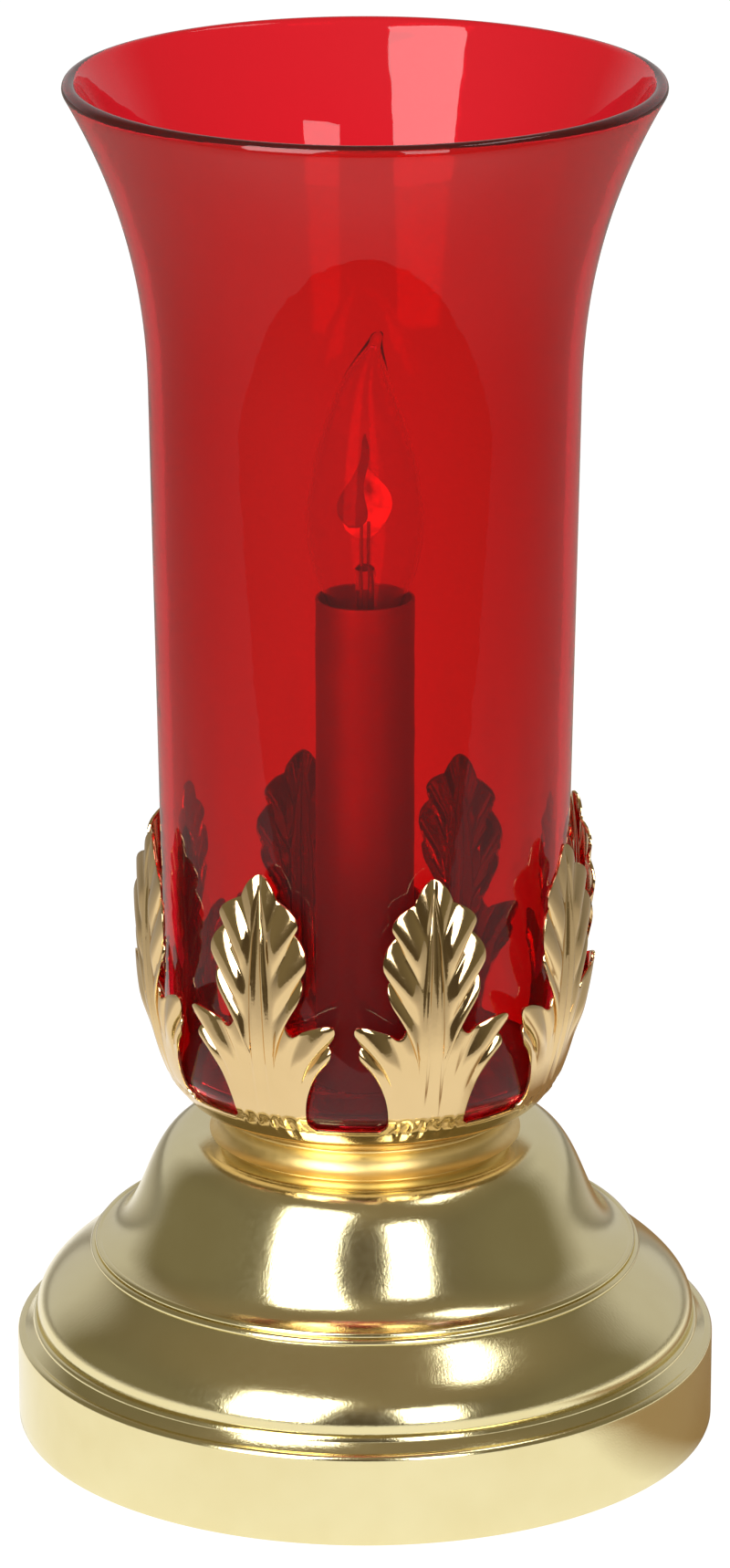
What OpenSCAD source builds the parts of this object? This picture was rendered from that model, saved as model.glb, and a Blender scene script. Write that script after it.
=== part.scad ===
// Electric sanctuary lamp: a spun brass base, a leaf gallery, a lift-off ruby
// glass globe and a candle with a small flame bulb in a candelabra socket.
// Origin: centre of the underside. +Z up. The front is towards -Y, and the
// cord inlet is at the back. Millimetres.

/* [Base] */
// Outside diameter of the base
base_d = 160; // [134:1:200]
// Height of the straight band, from the shell's rim line to its top edge
band_h = 22; // [18:0.5:30]
// Radius of the band's top edge
band_edge_r = 1.15; // [0.5:0.05:2]
// Sheet thickness of the spun shell
shell_wall = 0.9; // [0.7:0.1:1.5]
// Width of the sloping ledge on top of the band
ledge_w = 4.7; // [3:0.1:8]
// Rise of that ledge
ledge_rise = 2.3; // [1:0.1:4]
// Diameter of the raised bead between the lower and the upper dome
bead_d = 123.4; // [110:0.1:130]
// Height of that bead's middle
bead_z = 42.5; // [38:0.5:48]
// Width of the bead across its slope
bead_w = 3.6; // [2:0.1:5]
// Diameter of the shell's flat top
top_d = 79.6; // [76:0.2:100]
// Height of the shell's flat top
base_h = 69.9; // [60:0.1:90]
// Gap from the table to the shell's rim, taken up by the felt
rim_lift = 0.6; // [0.3:0.1:1.5]
// Width of the lip rolled inwards at the shell's rim
lip_w = 3; // [2:0.5:6]

/* [Base fittings] */
// Thickness of the fibre board that closes the base
board_t = 2.6; // [2:0.1:4]
// Diameter of the cast weight
weight_d = 124; // [90:1:126]
// Thickness of the cast weight
weight_t = 12; // [6:0.5:14]
// Gap between the board and the foot of the pipe
pipe_lift = 8.9; // [8:0.1:12]
// Height of the cord inlet's middle
inlet_z = 11; // [9:0.5:14]
// Bore of the cord inlet
inlet_d = 6.4; // [5:0.1:8]
// Wall of the cord inlet's bush
inlet_wall = 1.2; // [0.8:0.1:2]
// Length of the cord inlet's bush
inlet_len = 7; // [5:0.5:10]

/* [Pipe and nuts] */
// Outside diameter of the threaded centre pipe
pipe_d = 10; // [9:0.1:12]
// Bore of the centre pipe
pipe_bore = 6.8; // [6:0.1:8]
// Radial gap between the pipe and what it passes through
pipe_fit = 0.1; // [0.05:0.05:0.3]
// Width across the flats of the pipe nuts
nut_af = 16; // [14:0.5:20]
// Thickness of the pipe nuts
nut_t = 3; // [2:0.1:4]

/* [Neck ring] */
// Diameter of the turned neck ring
neck_d = 71.4; // [66:0.2:76]
// Height of the neck ring
neck_h = 7.3; // [5:0.1:12]
// Wall of the neck ring
neck_wall = 1; // [0.8:0.1:1.6]
// Radius of the bead round the neck ring
neck_bead_r = 1; // [0.5:0.1:1.5]

/* [Leaf gallery] */
// Sheet thickness of the gallery
crown_sheet = 0.7; // [0.5:0.1:1.2]
// Number of leaves
leaf_n = 8; // [6:1:10]
// Turn of the first leaf from the front
leaf_turn = 17.5; // [0:0.5:45]
// Width of a leaf across its side lobes
leaf_w = 33.8; // [24:0.2:36]
// Height of a leaf above the gallery's dish
leaf_h = 60.8; // [45:0.2:80]
// Height of the dish that holds the globe
dish_h = 7.5; // [6:0.1:10]

/* [Globe] */
// Outside diameter of the globe at its foot
globe_d = 90.6; // [76:0.2:110]
// Height of the globe
globe_h = 228.6; // [190:0.2:290]
// Wall of the globe
globe_wall = 3; // [2.4:0.1:4]
// Radius of the globe's rounded heel
heel_r = 5.5; // [4:0.1:7]
// Diameter of the hole in the globe's foot
globe_hole_d = 50; // [36:1:60]
// How much the radius grows in each millimetre of height
globe_taper = 0.0177; // [0:0.001:0.03]
// Height of the flared lip, down from the rim
flare_h = 68; // [50:1:90]
// How far the lip flares out
flare_w = 17; // [8:0.5:24]

/* [Candle] */
// Outside diameter of the candle cover
candle_d = 22.2; // [21.6:0.1:27]
// Wall of the candle cover
candle_wall = 0.6; // [0.4:0.1:0.8]
// Height of the candle cover
candle_h = 114.3; // [95:0.1:140]
// Thickness of the seat under the candle cover
seat_t = 1; // [0.8:0.1:2]
// How far the socket's top lies below the candle cover's top
socket_sink = 8.2; // [6:0.1:12]

/* [Socket] */
// Outside diameter of the insulating socket body
socket_d = 18.8; // [17.6:0.1:19]
// Height of the socket body
socket_h = 34.5; // [32:0.5:40]
// Thickness of the socket's strap bracket
strap_t = 1; // [0.8:0.1:1.5]
// Width of the strap bracket's legs
strap_w = 7; // [5:0.5:7.5]
// Diameter of a lead over its insulation
lead_d = 2.2; // [1.6:0.1:2.3]

/* [Bulb] */
// Diameter of the bulb's screw shell
screw_d = 11.9; // [11:0.1:12.4]
// Length of the bulb's screw shell
screw_h = 19; // [16:0.5:21]
// Largest diameter of the bulb's glass
bulb_d = 26.2; // [22:0.2:32]
// Height of the glass above the screw shell
bulb_h = 69.8; // [60:0.2:84]
// Height of the widest place above the screw shell
belly_h = 26.2; // [22:0.2:32]
// Wall of the bulb's glass
bulb_wall = 0.6; // [0.4:0.1:1]
// Lean of the drawn glass tip
tip_lean = 17; // [0:1:20]
// Width of a flame-shaped plate
flame_w = 9.4; // [7:0.1:12]
// Height of a flame-shaped plate
flame_h = 25; // [18:0.5:30]

/* [Hidden] */
$fn = 96;

gap = 0.3;           // free gap between loose pieces
touch = 0.1;         // gap between pieces that are pushed together by hand
over = 1;            // extra length of a cutting tool

// Base levels and radii
base_r = base_d / 2;
lip_z = rim_lift + shell_wall;
board_r = base_r - shell_wall - gap;
board_top = lip_z + board_t;
ledge_top = band_h + ledge_rise;
dome_foot_r = base_r - ledge_w;
bead_r = bead_d / 2;
top_r = top_d / 2;
hole_r = pipe_d / 2 + pipe_fit;
bead_slope = 49.5;   // slope of the shell under the bead
bead_half = bead_w / 2 * [cos(bead_slope), sin(bead_slope)];
bead_low = [bead_r + bead_half.x, bead_z - bead_half.y];
bead_high = [bead_r - bead_half.x, bead_z + bead_half.y];

// Pipe stack, from the foot of the pipe up
pipe_z0 = board_top + pipe_lift;
nut_low_z = pipe_z0 + 2;
weight_z = nut_low_z + nut_t;
nut_high_z = weight_z + weight_t;
neck_top = base_h + neck_h;
crown_z = neck_top;
crown_floor = crown_z + crown_sheet;
seat_z = crown_floor + nut_t;
candle_z0 = seat_z + seat_t;
candle_top = candle_z0 + candle_h;
candle_r = candle_d / 2;
candle_in_r = candle_r - candle_wall;

// Socket levels
socket_top = candle_top - socket_sink;
socket_z0 = socket_top - socket_h;
strap_top = socket_z0 - strap_t;
hub_h = 8.6;         // grip of the bracket's hub on the pipe
hub_top = candle_z0 + hub_h;
pipe_top = hub_top;
strap_span = candle_in_r - 1.9;
screw_r = screw_d / 2;
screw_top = socket_top - 0.5;
screw_z0 = screw_top - screw_h;
insulator_h = 1.8;
button_h = 1.2;
button_z = screw_z0 - insulator_h - button_h;
socket_floor = button_z - 1.1;
socket_wall = 0.35;
socket_shell_in = screw_r + 0.25;
socket_shell_out = socket_shell_in + socket_wall;
terminal_z = socket_z0 + 4;
terminal_h = 9;
terminal_x = 5;      // half the distance between the two terminal flats
screw_head_r = 2.2;
screw_shank_r = 1.1;
head_x = terminal_x + lead_d + 0.5;

// Leads
lead_r = lead_d / 2;
lead_x = lead_r + 0.2;
lead_out_x = terminal_x + lead_r + 0.25;
lead_bend_r = 8;
bend_a = acos(1 - (lead_out_x - lead_x) / (2 * lead_bend_r));
bend_top = strap_top - 4;
bend_low = bend_top - 2 * lead_bend_r * sin(bend_a);
connector_r = 4.5;
connector_len = 18;
connector_wall = 1.1;
connector_reach = 20;
lead_z = board_top + connector_r;
foot_bend_r = 5;
fan_a = 35;          // turn of each lead from the back, inside the base

// Gallery and globe
globe_r = globe_d / 2;
rim_r = globe_r - 1.6 + crown_sheet;
rim_z = crown_floor + dish_h - 0.7;
dish_r = rim_r - 7.9;
leaf_top = rim_z + leaf_h;
leaf_fold = rim_z + 2.3;
heel_z = crown_z + 12.7;
globe_z0 = heel_z - heel_r;
globe_top = globe_z0 + globe_h;
flare_z = globe_top - flare_h;

// Bulb levels
bulb_r = bulb_d / 2;
neck_r = screw_r - 0.65;
belly_z = screw_top + belly_h;
bulb_top = screw_top + bulb_h;
nib_h = 7.6;
nib_r = 2.1;
nib_end_r = 0.9;
stem_top = screw_top + 16;
stem_r = 2.25;
plate_z = stem_top + 6;
plate_t = 0.4;
wire_r = 0.35;
wire_x = 0.7;
plate_y = wire_x + wire_r + plate_t / 2 + 0.02;

// ---- outlines -------------------------------------------------------------

// Points along a cubic curve with four control points
function curve(p, n = 12) = [for (i = [0:n]) let (t = i / n, s = 1 - t)
    s * s * s * p[0] + 3 * s * s * t * p[1] + 3 * s * t * t * p[2] + t * t * t * p[3]];

// Points along an arc from angle a to angle b
function arc(c, r, a, b, n = 8) = [for (i = [0:n]) let (t = a + (b - a) * i / n)
    c + r * [cos(t), sin(t)]];

function unit(v) = v / norm(v);
function left(v) = [-v.y, v.x];
function reversed(p) = [for (i = [len(p) - 1:-1:0]) p[i]];
function rest(p) = [for (i = [1:len(p) - 1]) p[i]];

// Left normal of a path at point i, lengthened to keep the wall even at a corner
function mitre(p, i) = let (a = unit(p[max(i, 1)] - p[max(i, 1) - 1]),
                            b = unit(p[min(i, len(p) - 2) + 1] - p[min(i, len(p) - 2)]))
    (left(a) + left(b)) / (1 + a * b);

// The same path moved to its left by w
function inside(p, w) = [for (i = [0:len(p) - 1]) p[i] + w * mitre(p, i)];

// A sheet spun from a path, with its wall on the left of the path
module spun(path, wall) {
    rotate_extrude() polygon(concat(path, reversed(inside(path, wall))));
}

// Shell path from the rolled lip up to the centre hole, with or without the bead
function shell_path(bead) = concat(
    [[base_r - lip_w, rim_lift], [base_r - 0.6, rim_lift], [base_r, rim_lift + 0.6]],
    arc([base_r - band_edge_r, band_h - band_edge_r], band_edge_r, 0, 90, 6),
    curve([[dome_foot_r, ledge_top], [dome_foot_r + 1.5, ledge_top + 7],
           bead_low + [4.9, -4.75], bead_low]),
    bead ? arc([bead_r, bead_z] + 0.1 * [sin(bead_slope), cos(bead_slope)], bead_w / 2,
               bead_slope - 88, bead_slope + 88, 10) : [],
    curve([bead_high, bead_high + [-10.5, 2.6],
           [top_r + 11.5, base_h - 1.75], [top_r, base_h]], 16),
    [[hole_r, base_h]]);

// Gallery path from the centre hole to the leaf tips
function crown_path() = concat(
    [[hole_r, crown_z], [dish_r - 0.8, crown_z], [dish_r, crown_z + 0.8],
     [dish_r + 3.5, crown_z + 2.3], [dish_r + 6, rim_z - 2.7]],
    curve([[rim_r, rim_z], [rim_r + 5.5, rim_z + 9.9],
           [rim_r + 8.7, rim_z + 34.6], [rim_r + 5.3, leaf_top]], 14));

// Outer radius of the globe's wall at height z
function globe_at(z) = globe_r + globe_taper * (z - heel_z)
    + flare_w * pow(max(z - flare_z, 0) / flare_h, 2.2);

// Globe path from the foot hole round the heel and up to the rim
function globe_path() = concat(
    [[globe_hole_d / 2, globe_z0]],
    arc([globe_r - heel_r, heel_z], heel_r, -90, 0, 6),
    [for (i = [0:14]) let (z = flare_z + (flare_h - 1) * i / 14) [globe_at(z), z]]);

// Half of a leaf's outline: share of the half width, share of the height
leaf_edge = [[0.52, 0], [0.56, 0.14], [0.89, 0.27], [0.99, 0.35], [1, 0.45], [0.42, 0.39],
             [0.33, 0.44], [0.65, 0.58], [0.62, 0.62], [0.72, 0.7], [0.53, 0.77], [0.56, 0.82],
             [0.3, 0.89], [0, 1]];

module leaf_outline() {
    half = [for (p = leaf_edge) [p.x * leaf_w / 2, leaf_fold + p.y * (leaf_top - leaf_fold)]];
    foot = [[0, crown_z], [leaf_edge[0].x * leaf_w / 2, crown_z]];
    polygon(concat(foot, half));
    mirror([1, 0]) polygon(concat(foot, half));
}

// A washer or a plain tube standing on z
module tube(outer, bore, z, h) {
    translate([0, 0, z]) difference() {
        cylinder(r = outer, h = h);
        translate([0, 0, -over]) cylinder(r = bore, h = h + 2 * over);
    }
}

// A six-sided nut on the pipe
module pipe_nut(z) {
    translate([0, 0, z]) difference() {
        cylinder(d = nut_af / cos(30), h = nut_t, $fn = 6);
        translate([0, 0, -over]) cylinder(r = hole_r, h = nut_t + 2 * over);
    }
}

// ---- base -----------------------------------------------------------------

module felt_pad() {
    color("darkgreen") cylinder(r = base_r - lip_w - gap, h = lip_z);
}

module bottom_board() {
    color("peru") translate([0, 0, lip_z]) cylinder(r = board_r, h = board_t);
}

module base_shell() {
    outer = shell_path(true);
    inner = reversed(inside(shell_path(false), shell_wall));
    color("khaki") difference() {
        rotate_extrude() polygon(concat(outer, inner));
        translate([0, base_r - inlet_len - over, inlet_z]) rotate([-90, 0, 0])
            cylinder(r = inlet_d / 2 + inlet_wall + touch, h = inlet_len + 2 * over);
    }
}

// Insulating bush in the band, with a low head inside the base and a plain mouth outside
module cord_bushing() {
    color("black") translate([0, base_r, inlet_z]) rotate([90, 0, 0]) difference() {
        union() {
            cylinder(r = inlet_d / 2 + inlet_wall, h = inlet_len);
            translate([0, 0, shell_wall + 0.6])
                cylinder(r = inlet_d / 2 + inlet_wall + 1.5, h = inlet_len - shell_wall - 0.6);
        }
        translate([0, 0, -over]) cylinder(r = inlet_d / 2, h = inlet_len + 2 * over);
    }
}

module base_weight() {
    color("dimgray") tube(weight_d / 2, hole_r, weight_z, weight_t);
}

module weight_nuts() {
    color("darkgray") pipe_nut(nut_low_z);
    color("darkgray") pipe_nut(nut_high_z);
}

module center_pipe() {
    color("silver") tube(pipe_d / 2, pipe_bore / 2, pipe_z0, pipe_top - pipe_z0);
}

module shell_nut() {
    color("darkgray") pipe_nut(base_h - shell_wall - nut_t);
}

// ---- neck and gallery -----------------------------------------------------

module neck_ring() {
    r = neck_d / 2;
    bead_z0 = neck_top - 2.2;
    wall = [[r + 0.9, base_h], [r + 0.9, base_h + 0.4], [r, base_h + 1.8], [r - 0.2, base_h + 3.4],
            [r + 0.3, bead_z0]];
    top = [[r, neck_top], [hole_r, neck_top]];
    plain = concat(wall, [[r + 0.3, neck_top - 0.3]], top);
    outer = concat(wall, arc([r + 0.3, bead_z0 + neck_bead_r], neck_bead_r, -90, 70), top);
    color("goldenrod") rotate_extrude() polygon(concat(outer, reversed(inside(plain, neck_wall))));
}

module crown() {
    color("gold") intersection() {
        spun(crown_path(), crown_sheet);
        union() {
            cylinder(r = rim_r + 12, h = rim_z);
            for (i = [0:leaf_n - 1]) rotate(leaf_turn + 360 / leaf_n * i)
                translate([0, -dish_r + 4, 0]) rotate([90, 0, 0])
                    linear_extrude(height = 26) leaf_outline();
        }
    }
}

module crown_nut() {
    color("darkgray") pipe_nut(crown_floor);
}

// ---- candle and socket ----------------------------------------------------

// Flat seat with a low collar that centres the candle cover
module candle_seat() {
    color("goldenrod") tube(candle_r + 1.2, hole_r, seat_z, seat_t);
    color("goldenrod") tube(candle_in_r - gap, candle_in_r - gap - 1, candle_z0, 3);
}

module socket_bracket() {
    leg_h = strap_top + strap_t - hub_top;
    color("silver") {
        tube(7, hole_r, candle_z0, hub_h);
        translate([0, 0, hub_top]) difference() {
            translate([-strap_w / 2, -strap_span, 0]) cube([strap_w, 2 * strap_span, strap_t]);
            translate([0, 0, -over]) cylinder(r = pipe_bore / 2, h = strap_t + 2 * over);
        }
        for (side = [0, 1]) mirror([0, side, 0])
            translate([-strap_w / 2, strap_span - strap_t, hub_top]) cube([strap_w, strap_t, leg_h]);
        translate([0, 0, strap_top]) difference() {
            translate([-strap_w / 2, -strap_span, 0]) cube([strap_w, 2 * strap_span, strap_t]);
            translate([0, 0, -over]) cylinder(r = 1.6, h = strap_t + 2 * over);
        }
    }
}

// Screw up through the bracket into the socket body
module bracket_screw() {
    color("silver") {
        translate([0, 0, strap_top - 1.8]) cylinder(r = 2.6, h = 1.8);
        translate([0, 0, strap_top - 0.5]) cylinder(r = 1.5, h = 6);
    }
}

module socket_body() {
    color("saddlebrown") difference() {
        translate([0, 0, socket_z0]) cylinder(d = socket_d, h = socket_h);
        translate([0, 0, socket_floor]) cylinder(r = socket_shell_out + touch, h = socket_h);
        translate([0, 0, socket_z0 - over]) cylinder(r = 1.6, h = 7);
        translate([0, 0, socket_z0]) cylinder(r = 1.1, h = socket_h);
        for (side = [0, 1]) mirror([side, 0, 0]) {
            translate([terminal_x, -socket_d, socket_z0 - over])
                cube([socket_d, 2 * socket_d, terminal_h + over]);
            translate([2.3, 0, terminal_z]) rotate([0, 90, 0])
                cylinder(r = screw_shank_r + touch, h = terminal_x);
        }
    }
}

// Insulating paper sleeve between the socket body and the candle cover
module socket_liner() {
    color("burlywood") tube(socket_d / 2 + touch + 0.4, socket_d / 2 + touch, socket_z0, socket_h);
}

module socket_shell() {
    color("gold") tube(socket_shell_out, socket_shell_in, socket_floor + touch,
                       socket_top - 0.6 - socket_floor);
}

// Centre contact: a disc on the socket's floor and a rivet through it
module socket_contact() {
    rivet_h = socket_floor - socket_z0 - 6.6;
    color("gold") {
        translate([0, 0, socket_floor]) cylinder(r = 3, h = 1);
        translate([0, 0, socket_floor - rivet_h]) cylinder(r = 1, h = rivet_h + 0.5);
    }
}

module terminal_screws() {
    color("silver") for (side = [0, 1]) mirror([side, 0, 0])
        translate([0, 0, terminal_z]) rotate([0, 90, 0]) {
            translate([0, 0, 2.4]) cylinder(r = screw_shank_r, h = head_x - 2);
            translate([0, 0, head_x]) cylinder(r = screw_head_r, h = 1.1);
        }
}

// Middle line of one lead: terminal, double bend, down the pipe, and out into the base
function lead_route() = let (
    out = [sin(fan_a), cos(fan_a), 0],
    high = [lead_out_x - lead_bend_r, 0, bend_top],
    low = [lead_x + lead_bend_r, 0, bend_low],
    foot = [lead_x, 0, lead_z + foot_bend_r] + foot_bend_r * out,
    steps = 6) concat(
        [[lead_out_x, 0, terminal_z - screw_shank_r - touch]],
        [for (i = [0:steps]) let (a = -bend_a * i / steps) high + lead_bend_r * [cos(a), 0, sin(a)]],
        [for (i = [1:steps]) let (a = 180 - bend_a * (1 - i / steps))
            low + lead_bend_r * [cos(a), 0, sin(a)]],
        [for (i = [0:steps]) let (a = 90 * i / steps)
            foot - foot_bend_r * (cos(a) * out + [0, 0, sin(a)])],
        [[lead_x, 0, lead_z] + (connector_reach + 6) * out]);

// A round tube swept along points; none of them may run along X
module sweep(p, r, sides = 10) {
    n = len(p);
    rings = [for (i = [0:n - 1])
        let (t = unit(p[min(i + 1, n - 1)] - p[max(i - 1, 0)]),
             u = unit(cross(t, [1, 0, 0])),
             v = cross(t, u))
        for (k = [0:sides - 1]) p[i] + r * (cos(360 * k / sides) * u + sin(360 * k / sides) * v)];
    walls = [for (i = [0:n - 2]) for (k = [0:sides - 1])
        let (a = i * sides + k, b = i * sides + (k + 1) % sides)
        [a, a + sides, b + sides, b]];
    polyhedron(points = rings, faces = concat([[for (k = [0:sides - 1]) k]], walls,
        [[for (k = [sides - 1:-1:0]) (n - 1) * sides + k]]));
}

module lead(side) {
    mirror([side, 0, 0]) sweep(lead_route(), lead_r);
}

module line_lead() {
    color("black") lead(0);
}

module neutral_lead() {
    color("white") lead(1);
}

// Twist-on connectors lying on the board, one at the end of each lead
module wire_connectors() {
    tip_r = connector_r - connector_wall;
    color("orange") for (side = [0, 1]) mirror([side, 0, 0])
        translate([lead_x, 0, lead_z]) rotate(90 - fan_a) translate([connector_reach, 0, 0])
            rotate([0, 90, 0]) difference() {
                cylinder(r1 = connector_r, r2 = tip_r, h = connector_len);
                translate([0, 0, -over])
                    cylinder(r = tip_r - connector_wall, h = connector_len + over - 2);
            }
}

module candle_sleeve() {
    color("goldenrod") tube(candle_r, candle_in_r, candle_z0, candle_h);
}

// ---- globe ----------------------------------------------------------------

module globe() {
    outer = globe_path();
    inner = reversed(inside(outer, globe_wall));
    last = outer[len(outer) - 1];
    mid = (last + inner[0]) / 2;
    lean = atan2(last.y - inner[0].y, last.x - inner[0].x);
    rim = arc(mid, globe_wall / 2, lean, lean + 180, 10);
    color([0.7, 0.05, 0.08, 0.6]) rotate_extrude()
        polygon(concat(outer, [for (i = [1:9]) rim[i]], inner));
}

// ---- bulb -----------------------------------------------------------------

// Bulb outline from the neck in the screw shell to the start of the drawn tip
function bulb_path() = concat(
    [[neck_r, screw_top - 5], [neck_r, screw_top + touch]],
    curve([[screw_r + 0.25, screw_top + 0.5], [bulb_r - 3.6, belly_z - 16.2],
           [bulb_r, belly_z - 10.2], [bulb_r, belly_z]]),
    rest(curve([[bulb_r, belly_z], [bulb_r, belly_z + 12.8],
                [bulb_r - 6.2, bulb_top - 15.8], [nib_r, bulb_top - 6.3]])));

module bulb_glass() {
    outer = bulb_path();
    inner = inside(outer, bulb_wall);
    last = outer[len(outer) - 1];
    roof = inner[len(inner) - 1];
    color([0.9, 0.9, 0.95, 0.4]) difference() {
        union() {
            rotate_extrude() polygon(concat([[0, outer[0].y]], outer, [[0, last.y]]));
            translate([0, 0, last.y]) rotate([0, tip_lean, 0]) {
                translate([0, 0, -0.6]) cylinder(r1 = nib_r, r2 = nib_end_r, h = nib_h - 1);
                translate([0, 0, nib_h - 1.6]) sphere(r = nib_end_r);
            }
        }
        rotate_extrude() polygon(concat([[0, inner[0].y - over], [inner[0].x, inner[0].y - over]],
                                        inner, [[0, roof.y]]));
    }
}

// Flared glass mount that carries the two wires
module bulb_stem() {
    flare = neck_r - bulb_wall - 0.1;
    color([0.85, 0.9, 0.95, 0.6]) difference() {
        rotate_extrude() polygon([[0, screw_top - 4], [flare, screw_top - 4], [flare, screw_top - 3],
                                  [stem_r, screw_top + 4], [stem_r, stem_top], [0, stem_top]]);
        for (side = [-1, 1]) translate([side * wire_x, side * wire_x, screw_top - 4 - over])
            cylinder(r = wire_r + 0.05, h = 30);
    }
}

module bulb_wires() {
    color("silver") for (side = [-1, 1])
        translate([side * wire_x, side * wire_x, screw_top - 3])
            cylinder(r = wire_r, h = plate_z + 4 - screw_top + 3);
}

// A flame-shaped plate: a full belly and a tip curled to one side
module flame_plate(side) {
    right = curve([[0.3, 0], [flame_w * 0.62, flame_h * 0.1], [flame_w * 0.6, flame_h * 0.55],
                   [-flame_w * 0.12, flame_h]], 16);
    left_side = curve([[-flame_w * 0.12, flame_h], [flame_w * 0.1, flame_h * 0.72],
                       [-flame_w * 0.85, flame_h * 0.35], [-0.3, 0]], 16);
    translate([side * 1.4, side * plate_y + plate_t / 2, plate_z]) rotate([90, 0, 0])
        linear_extrude(height = plate_t) mirror([side > 0 ? 1 : 0, 0])
            polygon(concat(right, rest(left_side)));
}

module flame_plate_front() {
    color("dimgray") flame_plate(-1);
}

module flame_plate_rear() {
    color("orange") flame_plate(1);
}

module bulb_shell() {
    color("gold") tube(screw_r, screw_r - 0.35, screw_z0, screw_h);
}

module bulb_insulator() {
    color("black") translate([0, 0, screw_z0 - insulator_h]) {
        cylinder(r1 = 3.6, r2 = screw_r - 0.5, h = insulator_h);
        cylinder(r = screw_r - 0.45, h = insulator_h + 1);
    }
}

module bulb_contact() {
    color("silver") translate([0, 0, button_z]) cylinder(r1 = 1.8, r2 = 2.6, h = button_h);
}

felt_pad();
bottom_board();
base_shell();
cord_bushing();
base_weight();
weight_nuts();
center_pipe();
shell_nut();
neck_ring();
crown();
crown_nut();
candle_seat();
socket_bracket();
bracket_screw();
socket_body();
socket_liner();
socket_shell();
socket_contact();
terminal_screws();
line_lead();
neutral_lead();
wire_connectors();
candle_sleeve();
globe();
bulb_glass();
bulb_stem();
bulb_wires();
flame_plate_front();
flame_plate_rear();
bulb_shell();
bulb_insulator();
bulb_contact();
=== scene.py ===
import math

import bmesh
import bpy
from mathutils import Euler, Matrix, Vector


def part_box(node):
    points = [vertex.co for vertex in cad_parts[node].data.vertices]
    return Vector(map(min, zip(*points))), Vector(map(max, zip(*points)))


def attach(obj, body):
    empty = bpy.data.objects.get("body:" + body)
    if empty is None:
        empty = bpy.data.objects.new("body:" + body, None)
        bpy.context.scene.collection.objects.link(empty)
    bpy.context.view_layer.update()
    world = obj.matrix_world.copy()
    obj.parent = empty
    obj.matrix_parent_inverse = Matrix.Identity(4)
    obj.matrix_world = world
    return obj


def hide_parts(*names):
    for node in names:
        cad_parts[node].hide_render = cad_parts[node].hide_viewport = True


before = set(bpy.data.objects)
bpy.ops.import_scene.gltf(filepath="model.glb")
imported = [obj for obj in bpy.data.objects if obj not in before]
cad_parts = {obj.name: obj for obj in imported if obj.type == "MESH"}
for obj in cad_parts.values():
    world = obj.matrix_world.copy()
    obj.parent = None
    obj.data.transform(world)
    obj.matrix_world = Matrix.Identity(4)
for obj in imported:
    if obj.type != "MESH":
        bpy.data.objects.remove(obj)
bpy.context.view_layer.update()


# ---- Felt pad ---------------------------------------------------------------
# A disc of green wool felt glued under the base, die-cut, so its edge is soft
# and a little proud of the spun rim.

MM = 0.001
AXIS = Vector((0, 0, 1))


def spin_outline(points, steps, closed=True):
    """Spins an outline of (radius, height) points, in millimetres, about the lamp's axis."""
    bm = bmesh.new()
    corners = [bm.verts.new((r * MM, 0, z * MM)) for r, z in points]
    edges = [bm.edges.new(pair) for pair in zip(corners, corners[1:])]
    if closed:
        edges.append(bm.edges.new((corners[-1], corners[0])))
    bmesh.ops.spin(bm, geom=corners + edges, cent=(0, 0, 0), axis=AXIS,
                   angle=math.tau, steps=steps, use_merge=True)
    bmesh.ops.remove_doubles(bm, verts=bm.verts, dist=1e-6)
    loose = [e for e in bm.edges if not e.link_faces]
    bmesh.ops.delete(bm, geom=loose, context="EDGES")
    bmesh.ops.recalc_face_normals(bm, faces=bm.faces)
    return bm


def make_piece(name, bm, body, node, material, crease=40):
    """Turns a bmesh into a finished piece that stands for a CAD node and rides on its body."""
    mesh = bpy.data.meshes.new(name)
    bm.to_mesh(mesh)
    bm.free()
    mesh.shade_smooth()
    mesh.set_sharp_from_angle(angle=math.radians(crease))
    piece = bpy.data.objects.new(name, mesh)
    bpy.context.scene.collection.objects.link(piece)
    mesh.materials.append(material)
    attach(piece, body)
    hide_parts(node)
    return piece


def arc(centre_r, centre_z, radius, start, end, count=8):
    """Points round an arc, from one angle in degrees to another."""
    turn = [math.radians(start + (end - start) * i / count) for i in range(count + 1)]
    return [(centre_r + radius * math.cos(a), centre_z + radius * math.sin(a)) for a in turn]


def add_node(tree, kind, inputs=None, **settings):
    """Adds a shader node, sets its options and the values of its named or numbered inputs."""
    made = tree.nodes.new(kind)
    for key, value in settings.items():
        setattr(made, key, value)
    for key, value in (inputs or {}).items():
        made.inputs[key].default_value = value
    return made


def new_material(name, **inputs):
    """A material with one Principled shader; its plain values are set straight on the sockets."""
    material = bpy.data.materials.new(name)
    material.use_nodes = True
    tree = material.node_tree
    shader = tree.nodes["Principled BSDF"]
    for key, value in inputs.items():
        shader.inputs[key.replace("_", " ")].default_value = value
    return material, tree, shader


def new_group(name, inputs, output):
    """A shader node group with float inputs, reading the object's own coordinates."""
    group = bpy.data.node_groups.new(name, "ShaderNodeTree")
    for label, value in inputs.items():
        socket = group.interface.new_socket(label, in_out="INPUT", socket_type="NodeSocketFloat")
        socket.default_value = value
    group.interface.new_socket(output, in_out="OUTPUT", socket_type="NodeSocketFloat")
    entry = group.nodes.new("NodeGroupInput")
    leave = group.nodes.new("NodeGroupOutput")
    place = group.nodes.new("ShaderNodeTexCoord")
    return group, entry, leave, place.outputs["Object"]


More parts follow.
